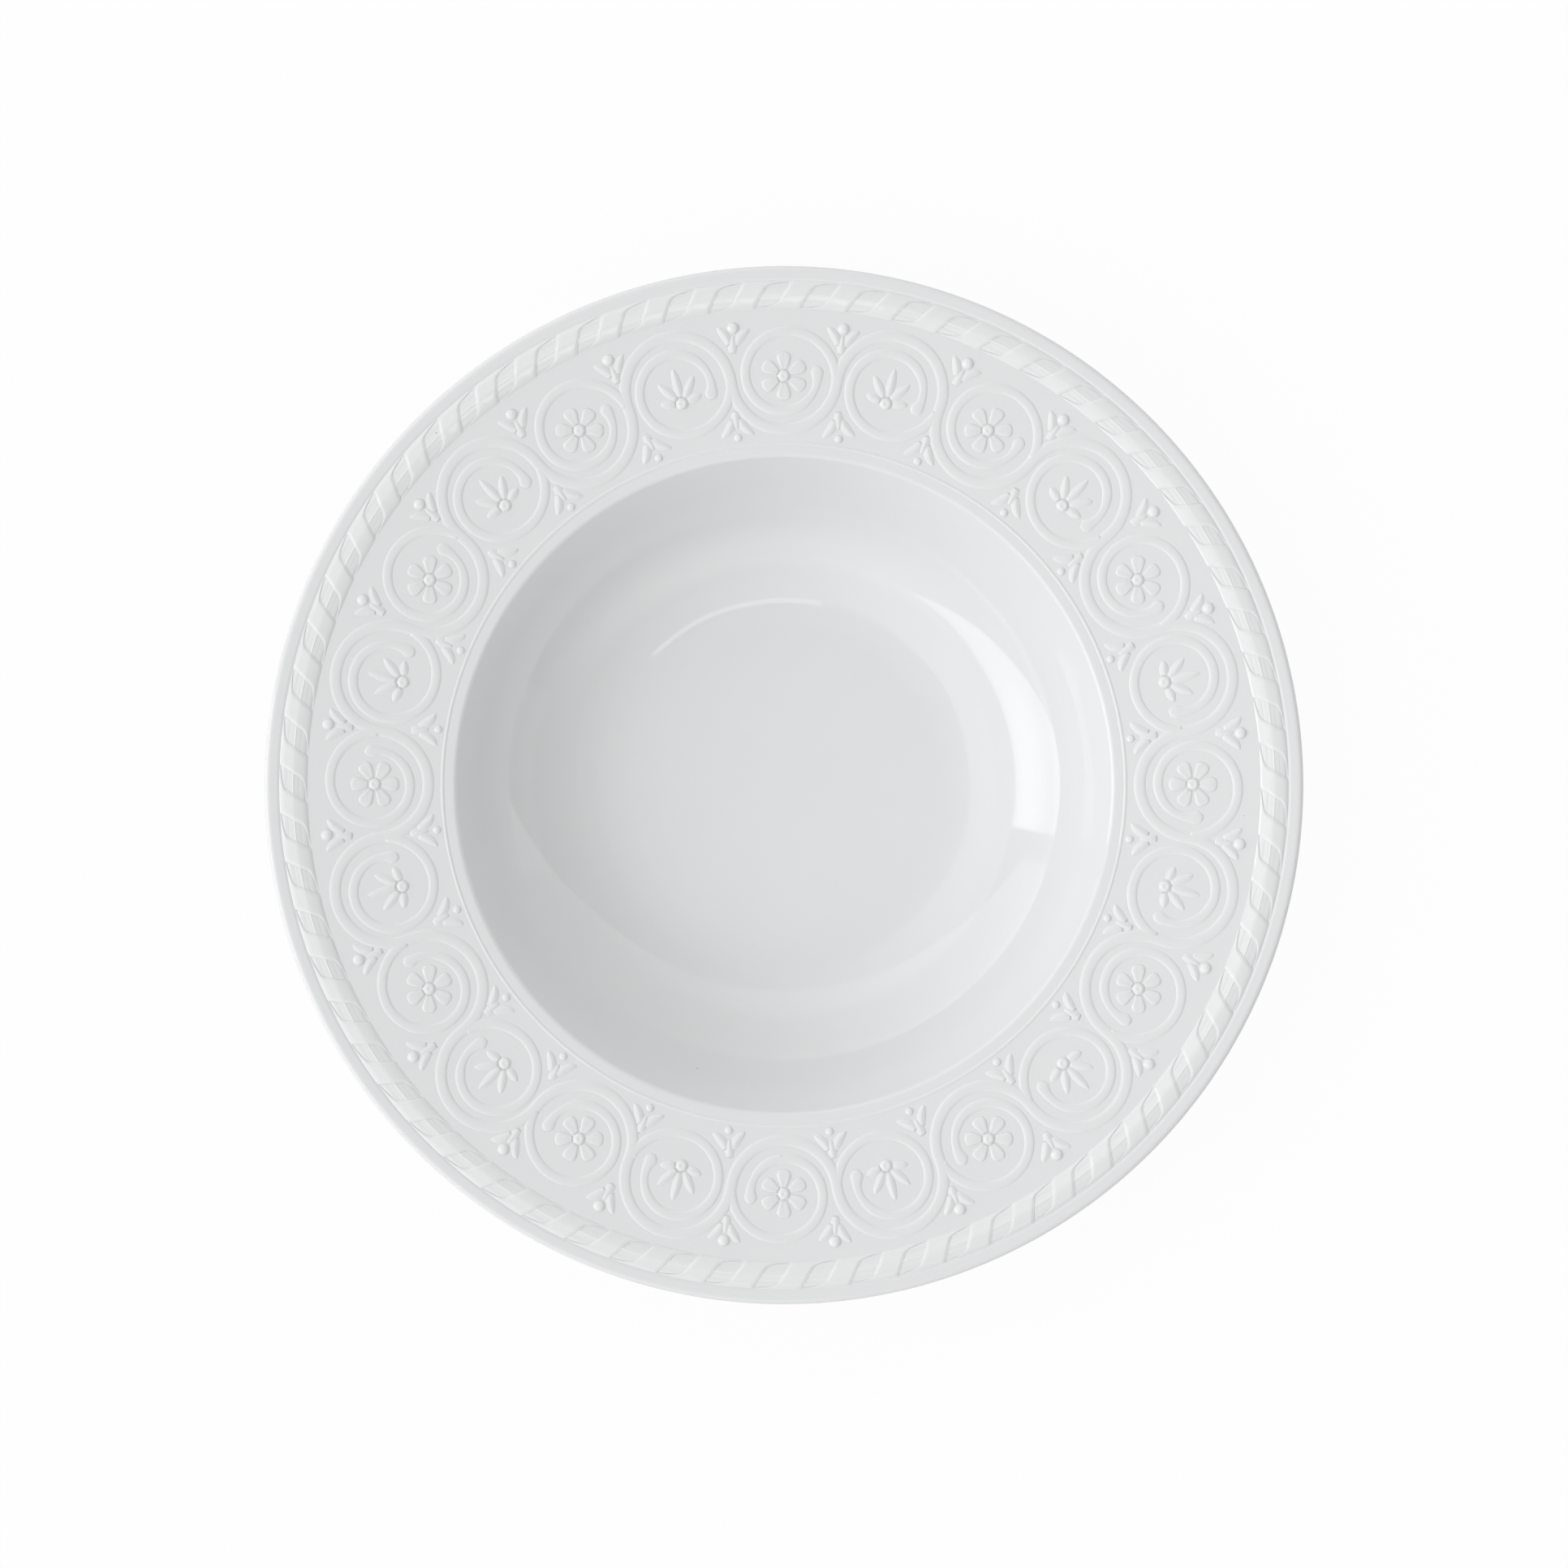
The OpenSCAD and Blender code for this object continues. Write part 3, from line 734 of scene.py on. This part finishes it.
leaf = {"width": 2.15, "height": 0.38, "flare": 0.22, "fillet": 0.4, "petals": 6, "petalWidth": 3.4,
        "heartDiameter": 2.7, "eyeGap": 0.9, "rootGap": 0.15,
        "midribShare": 0.12, "midribWidth": 0.13, "grooveDepth": 0.2, "grooveWidth": 0.14,
        "leastWidth": 0.01, "rows": 15, "rowSpacing": 1.4, "sectionPoints": 11}
eyeR = circleR - armDrop - vine["armWidth"] / 2
flowerR = eyeR - leaf["eyeGap"]
heartR = leaf["heartDiameter"] / 2
circleOut = circleR + vine["stemWidth"] / 2
crotch = math.sqrt(circleOut ** 2 - circleR ** 2)
room = circleOut - crotch


# Leaves as closed grids: each starts at a distance from its foot along its angle, is as long as asked and
# bends evenly. The chord of a bend of b over the share t is t * sin(b / 2) / (b / 2), at half the bend.
def leaves(a, c, footX, footY, angle, start, length, bend, width, outline, top):
    t = np.linspace(0, 1, leaf["rows"])[None, :]
    lengthwise = 1 - (1 - t) ** leaf["rowSpacing"]
    places = np.broadcast_arrays(a, c, footX, footY, angle, start, length, bend)
    a, c, footX, footY, angle, start, length, bend = [np.asarray(v, float).reshape(-1, 1) for v in places]
    turn = np.radians(bend * lengthwise)
    chord = lengthwise * length * np.sinc(turn / 2 / math.pi)
    heading = np.radians(angle) + turn / 2
    x = footX + start * np.sin(np.radians(angle)) + chord * np.sin(heading)
    y = footY + start * np.cos(np.radians(angle)) + chord * np.cos(heading)
    shares = acrossShares(leaf["sectionPoints"], leaf["flare"])
    form = top(lengthwise[0][:, None], np.clip(shares, -1, 1)[None, :])
    fillet = leaf["fillet"] * np.clip((1 + leaf["flare"] - np.abs(shares)) / (2 * leaf["flare"]), 0, 1) ** 2
    height = leaf["height"] * (form ** 4 + (fillet * form.max(1, keepdims=True)) ** 4) ** 0.25
    return carried(local(a, c, x, y), width / 2 * outline(lengthwise), shares, height)


# Width of a leaf: (1 - t^2)^0.65 * (t + 0.15)^0.35, scaled to a greatest width of 1
def leafOutline(t):
    return np.maximum((1 - t * t) ** 0.65 * (t + 0.15) ** 0.35 / 0.72, leaf["leastWidth"])


# A leaf's top: along it 0.55 + 1.6 * t, at most 1, times (1 - t^5)^0.6. Across it two faces,
# (1 - |x|^1.25)^0.75, that meet in a midrib, exp(-(x / width)^2).
def leafTop(t, x):
    rise = np.clip(0.55 + 1.6 * t, 0, 1) * np.clip(1 - t ** 5, 0, 1) ** 0.6
    faces = np.clip(1 - np.abs(x) ** 1.25, 0, 1) ** 0.75
    midrib = np.exp(-(x / leaf["midribWidth"]) ** 2)
    return rise * ((1 - leaf["midribShare"]) * faces + leaf["midribShare"] * midrib)


# Width of a petal, broad and round at its outer end: (1 - t^3.6)^0.5 * (0.3 + 0.8 * t), scaled likewise
def petalOutline(t):
    return np.maximum((1 - t ** 3.6) ** 0.5 * (0.3 + 0.8 * t) / 0.76, leaf["leastWidth"])


# A petal's top: along it 0.5 + 1.3 * t, at most 1, times (1 - t^6)^0.5. Across it (1 - |x|^5)^0.6, hollow
# by 0.78 + 0.22 * x^2, less a groove along its middle that runs out at the tip.
def petalTop(t, x):
    rise = np.clip(0.5 + 1.3 * t, 0, 1) * np.clip(1 - t ** 6, 0, 1) ** 0.5
    faces = np.clip(1 - np.abs(x) ** 5, 0, 1) ** 0.6 * (0.78 + 0.22 * x ** 2)
    groove = leaf["grooveDepth"] * np.exp(-(x / leaf["grooveWidth"]) ** 2)
    return rise * (faces - groove * (1 - t))


spray = {"angles": (0, 17, -17), "starts": (0.08, 0.34, 0.34), "lengths": (0.54, 0.66, 0.66),
         "bends": (0, 42, -42), "lean": 9, "leanShare": 0.14}


# A spray stands on each side of the point where two circles touch. It leans away from the side stem's root.
def sprayPlaces():
    k = np.repeat(np.arange(vine["circles"]), 2)
    way = np.tile([1, -1], vine["circles"])
    leans = np.where(way == np.where(k % 2 == 0, 1, -1), 0, 1)
    return k, way, leans, leans * spray["leanShare"] * room, way * crotch


def makeSprays():
    k, way, leans, footX, footY = [v[:, None] for v in sprayPlaces()]
    angle = leans * spray["lean"] + np.array([spray["angles"]])
    angle = np.where(way > 0, angle, 180 - angle)
    grids = leaves(-(k + 0.5) * circleStep, touchR, footX, footY, angle, room * np.array([spray["starts"]]),
                   room * np.array([spray["lengths"]]), way * np.array([spray["bends"]]),
                   leaf["width"], leafOutline, leafTop)
    addTubes("leafSprays", [grids], reliefGlaze, "leaf_sprays")


def makeRosettes():
    k = np.arange(0, vine["circles"], 2)[:, None]
    turn = np.arange(leaf["petals"])[None, :] * 360 / leaf["petals"]
    start = heartR + leaf["rootGap"]
    grids = leaves(-k * circleStep, vine["radius"], 0, 0, turn, start, flowerR - start, 0,
                   leaf["petalWidth"], petalOutline, petalTop)
    addTubes("rosettes", [grids], reliefGlaze, "rosettes")


tuft = {"angles": (0, 37, -37, 79, -79), "lengths": (1.5, 1.27, 1.27, 0.9, 0.9), "footShare": 0.6}


def makeTufts():
    k = np.arange(1, vine["circles"], 2)[:, None]
    start = heartR + leaf["rootGap"]
    length = np.array([tuft["lengths"]]) * flowerR - start
    grids = leaves(-k * circleStep, vine["radius"], 0, -tuft["footShare"] * flowerR,
                   np.array([tuft["angles"]]), start, length, 0, leaf["width"], leafOutline, leafTop)
    addTubes("leafTufts", [grids], reliefGlaze, "leaf_tufts")


makeSprays()
makeRosettes()
makeTufts()
print("leaves and flowers made")


# Pearls and hearts

pearl = {"outer": 2.6, "inner": 1.8, "heightShare": 0.5, "heartDimple": 0.17, "dimpleWidth": 0.4,
         "filletReach": (1.2, 1.2, 1.1, 1.03), "filletLift": (0, 0, 0.02, 0.07),
         "rows": (12, 20, 30, 40, 50, 60, 70, 80, 88.5), "around": 28}


# Studs: distance from the middle is radius * cos b and height radius * sin b, with b rising from the fillet
# to the crown. A dimple takes radius * depth * exp(-(distance / width)^2) off the crown.
def studs(centres, radius, dimple):
    b = np.radians(pearl["rows"])
    crown = pearl["heightShare"] * np.sin(b) - dimple * np.exp(-(np.cos(b) / pearl["dimpleWidth"]) ** 2)
    reach = np.concatenate([pearl["filletReach"], np.cos(b)])
    lift = np.concatenate([pearl["filletLift"], crown])
    turn = np.linspace(0, 2 * math.pi, pearl["around"], endpoint=False)
    ring = np.stack([np.cos(turn), np.sin(turn)], -1)
    plan = centres[:, None, None] + radius[:, None, None, None] * reach[:, None, None] * ring
    height = np.broadcast_to(radius[:, None, None] * lift[:, None], plan.shape[:3]) - sunk
    points = onRim(plan, height)
    points[:, 0, :, 2] -= buried
    return points


# A large pearl beyond each outer spray, a small one beyond each inner spray, and a heart in each flower
def makePearls():
    k, way, leans, footX, footY = sprayPlaces()
    radius = np.where(way > 0, pearl["outer"], pearl["inner"]) / 2
    reach = room - radius
    x = footX + reach * np.tan(np.radians(leans * spray["lean"]))
    centres = local(-(k + 0.5) * circleStep, touchR, x, footY + way * reach)
    flowers = np.arange(vine["circles"])
    down = np.where(flowers % 2 == 0, 0, -tuft["footShare"] * flowerR)
    hearts = local(-flowers * circleStep, vine["radius"], 0 * down, down)
    heartSizes = np.full(vine["circles"], heartR)
    groups = [studs(centres, radius, 0), studs(hearts, heartSizes, pearl["heartDimple"])]
    addTubes("pearls", groups, reliefGlaze, "pearls")


makePearls()
print("plate made")


# Floor, light and camera

studio = {
    "floorSize": 6.0,
    "floorColour": (0.80, 0.80, 0.80, 1),
    "floorRoughness": 0.8,
    "floorIor": 1.45,
    "floorWhite": 0.95,        # share of plain white that the camera and reflections see on the floor
    # bands of the sky: upper edge in degrees of elevation, light, and how much less of it there is
    # towards +X and towards +Y
    "skyBands": [
        (10, (0.60, 0.45, 0.18)),
        (22, (0.40, 0.34, 0.14)),
        (40, (0.33, 0.28, 0.06)),
        (53.5, (0.60, 0.55, 0.05)),
        (70, (0.77, 0.50, 0.20)),
        (86, (0.71, -0.39, 0.07)),
        (90, (0.70, 0, 0)),
    ],
    # a ceiling at height 1 with its edges west, north and south of the plate, and a hole for the camera
    "ceilingWest": -0.75,
    "ceilingNorth": 0.65,
    "ceilingSouth": -1.18,
    "ceilingHole": 70,
    "ceilingLight": 0.20,
    "ceilingFull": 50.0,       # elevation from which it has all its light
    # faint panels: middle azimuth, half width, lower and upper elevation, softness of the edges, light
    "panels": [
        (0, 20, 3, 26, 0.5, 0.30),
        (288, 30, 69.8, 72.8, 0.5, 1.40),
        (275, 45, 22, 46, 28, 1.10),
    ],
    # the key between two azimuths; its far side leans, and a glow lies below its upper edge
    "keyFrom": 168.0,
    "keyTo": 230.0,
    "keyTop": 40.0,
    "keyLean": 1.36,
    "leanFoot": 4.0,
    "keyLight": 1.32,
    "keyGlow": 1.40,
    "glowRise": (28, 11),      # degrees under the upper edge between which the glow grows
    "glowFall": (5, -1),       # and those between which it fades again
    "glowFallShare": 0.6,
    "glowSide": (22, 8),       # degrees from the key's sides between which it fades to the far side
    "glowSideShare": 0.65,
    "screenHeight": 1.54,
    "screenTo": 162.0,
    "screenLight": 0.76,
    "edgeBlur": 0.7,           # softness of the lights' edges, in degrees
    "leanBlur": 1.5,
    "holeBlur": 0.5,
    "slopeBlur": 0.02,         # the same for the ceiling and the screen, as a slope
    "screenBlur": 0.015,
    "bandBlend": 0.006,        # and between two bands, as a share of a quarter turn
    "cameraDistance": 1.6,
    "cameraTilt": 1.5,
    "cameraAzimuth": 270.0,
    "plateWidthPixels": 1281.0,
    "imagePixels": 1932.0,
    "sensor": 36.0,
}


def makeFloor():
    size = studio["floorSize"] / 2
    corners = [(-size, -size, 0), (size, -size, 0), (size, size, 0), (-size, size, 0)]
    mesh = bpy.data.meshes.new("floor")
    mesh.from_pydata(corners, [], [(0, 1, 2, 3)])
    floor = bpy.data.objects.new("floor", mesh)
    bpy.context.scene.collection.objects.link(floor)
    material, shader, place = newMaterial("paleFloor", studio["floorRoughness"], studio["floorIor"])
    shader.inputs["Base Color"].default_value = studio["floorColour"]
    seen = place.node("ShaderNodeLightPath")
    for ray in ("Is Glossy Ray", "Is Transmission Ray"):
        seen = seen.maths("MAXIMUM", seen, place.node("ShaderNodeLightPath", output=ray))
    white = place.node("ShaderNodeEmission", {}, {"Color": (1, 1, 1, 1), "Strength": 1.0})
    lit = Wire(place.tree, shader.outputs[0])
    mixed = place.node("ShaderNodeMixShader", {}, {0: seen * studio["floorWhite"], 1: lit, 2: white})
    place.tree.links.new(mixed.socket, place.tree.nodes["Material Output"].inputs["Surface"])
    mesh.materials.append(material)


# 0 below an edge and 1 above it, with a soft step between
def edged(wire, edge, blur):
    return wire.smoothstep(edge - blur, edge + blur)


# Soft light from all sides, in bands of elevation that can differ in strength, with a few plain lights
def makeSky():
    world = bpy.data.worlds.new("softbox")
    bpy.context.scene.world = world
    world.use_nodes = True
    tree = world.node_tree
    place = Wire(tree).node("ShaderNodeTexCoord", output="Generated")
    parts = place.node("ShaderNodeSeparateXYZ", inputs={0: place})
    up = Wire(tree, parts.socket.node.outputs["Z"])
    elevation = up.maths("ARCSINE", up) * (180 / math.pi)
    flat = place.node("ShaderNodeVectorMath", {"operation": "MULTIPLY"}, {0: place, 1: (1, 1, 0)})
    flat = place.node("ShaderNodeVectorMath", {"operation": "NORMALIZE"}, {0: flat})
    sides = place.node("ShaderNodeSeparateXYZ", inputs={0: flat})
    east, north = Wire(tree, sides.socket.node.outputs["X"]), Wire(tree, sides.socket.node.outputs["Y"])
    stops, blend = [], studio["bandBlend"]
    for low, high in zip([(0, None)] + studio["skyBands"], studio["skyBands"]):
        stops += [(low[0] / 90 + blend, (*high[1], 1)), (high[0] / 90 - blend, (*high[1], 1))]
    bands = place.node("ShaderNodeValToRGB", {"stops": stops}, {0: elevation * (1 / 90)})
    shares = place.node("ShaderNodeCombineXYZ", {}, {0: 1.0, 1: 0 - east, 2: 0 - north})
    strength = place.node("ShaderNodeVectorMath", {"operation": "DOT_PRODUCT"}, {0: bands, 1: shares}, 1)
    azimuth = north.maths("ARCTAN2", north, east) * (180 / math.pi)
    azimuth = azimuth + azimuth.maths("LESS_THAN", azimuth, 0) * 360
    keyTop, blur, overTable = studio["keyTop"], studio["edgeBlur"], elevation.smoothstep(0, 1)
    lean = azimuth - (elevation - keyTop + studio["leanFoot"]) * studio["keyLean"]
    key = edged(azimuth, studio["keyFrom"], blur) * overTable
    key = key * (1 - edged(lean, studio["keyTo"], studio["leanBlur"]))
    key = key * (1 - edged(elevation, keyTop, blur))
    growth, fall, side = studio["glowRise"], studio["glowFall"], studio["glowSide"]
    glow = elevation.smoothstep(keyTop - growth[0], keyTop - growth[1])
    glow = glow * (1 - elevation.smoothstep(keyTop - fall[0], keyTop - fall[1]) * studio["glowFallShare"])
    far = azimuth.smoothstep(studio["keyFrom"] + side[0], studio["keyTo"] - side[1])
    glow = glow * (1 - far * studio["glowSideShare"])
    strength = strength + key * (studio["keyLight"] + glow * studio["keyGlow"])
    # The screen: a long upright one whose upper edge stands at tan(elevation) = height * sin(azimuth)
    edge = azimuth.maths("SINE", azimuth * (math.pi / 180)) * studio["screenHeight"]
    rise = up.maths("TANGENT", elevation * (math.pi / 180))
    screen = edged(edge - rise, 0, studio["screenBlur"]) * (1 - edged(azimuth, studio["screenTo"], blur))
    strength = strength + screen * overTable * studio["screenLight"]
    # The ceiling: where the ray meets it lies at (x / z, y / z)
    overhead = up.maths("MAXIMUM", up, 0.02)
    alongX = up.maths("DIVIDE", Wire(tree, parts.socket.node.outputs["X"]), overhead)
    alongY = up.maths("DIVIDE", Wire(tree, parts.socket.node.outputs["Y"]), overhead)
    slopeBlur = studio["slopeBlur"]
    ceiling = edged(alongX, studio["ceilingWest"], slopeBlur)
    ceiling = ceiling * (1 - edged(alongY, studio["ceilingNorth"], slopeBlur))
    ceiling = ceiling * edged(alongY, studio["ceilingSouth"], slopeBlur * 2)
    ceiling = ceiling * (1 - edged(elevation, studio["ceilingHole"], studio["holeBlur"]))
    strength = strength + ceiling * elevation.smoothstep(0, studio["ceilingFull"]) * studio["ceilingLight"]
    for middle, half, low, high, soft, light in studio["panels"]:
        x, y = direction(middle)
        towards = east * float(x) + north * float(y)
        panel = towards.smoothstep(math.cos(math.radians(half + soft)), math.cos(math.radians(half - soft)))
        panel = panel * edged(elevation, low, soft / 2) * (1 - edged(elevation, high, soft / 2))
        strength = strength + panel * light
    seen = place.node("ShaderNodeLightPath")
    strength = strength + seen * (1 - strength)
    strength.plug(tree.nodes["Background"], "Strength")
    tree.nodes["Background"].inputs["Color"].default_value = (1, 1, 1, 1)


# Turns an object at a place so that its -Z looks at a target and its Y is as near as can be to upright
def aim(thing, place, target, upright):
    back = unit(place - target)
    side = unit(np.cross(upright, back))
    up = np.cross(back, side)
    matrix = np.eye(4)
    matrix[:3, 0], matrix[:3, 1], matrix[:3, 2], matrix[:3, 3] = side, up, back, place
    thing.matrix_world = mathutils.Matrix(matrix.tolist())


# The camera looks nearly straight down, with +Y of the plate upwards in the picture
def makeCamera():
    tilt, azimuth = math.radians(studio["cameraTilt"]), math.radians(studio["cameraAzimuth"])
    target = np.array([0, 0, plate["height"] * metre])
    way = np.array([math.sin(tilt) * math.cos(azimuth), math.sin(tilt) * math.sin(azimuth), math.cos(tilt)])
    data = bpy.data.cameras.new("camera")
    width = 2 * plate["radius"] * metre * studio["imagePixels"] / studio["plateWidthPixels"]
    data.sensor_width = studio["sensor"]
    data.lens = studio["sensor"] * studio["cameraDistance"] / width
    camera = bpy.data.objects.new("camera", data)
    bpy.context.scene.collection.objects.link(camera)
    aim(camera, target + way * studio["cameraDistance"], target, np.array([0, 1.0, 0]))
    bpy.context.scene.camera = camera


makeFloor()
makeSky()
makeCamera()
bpy.context.scene.view_settings.view_transform = "Standard"
print("floor, light and camera made")
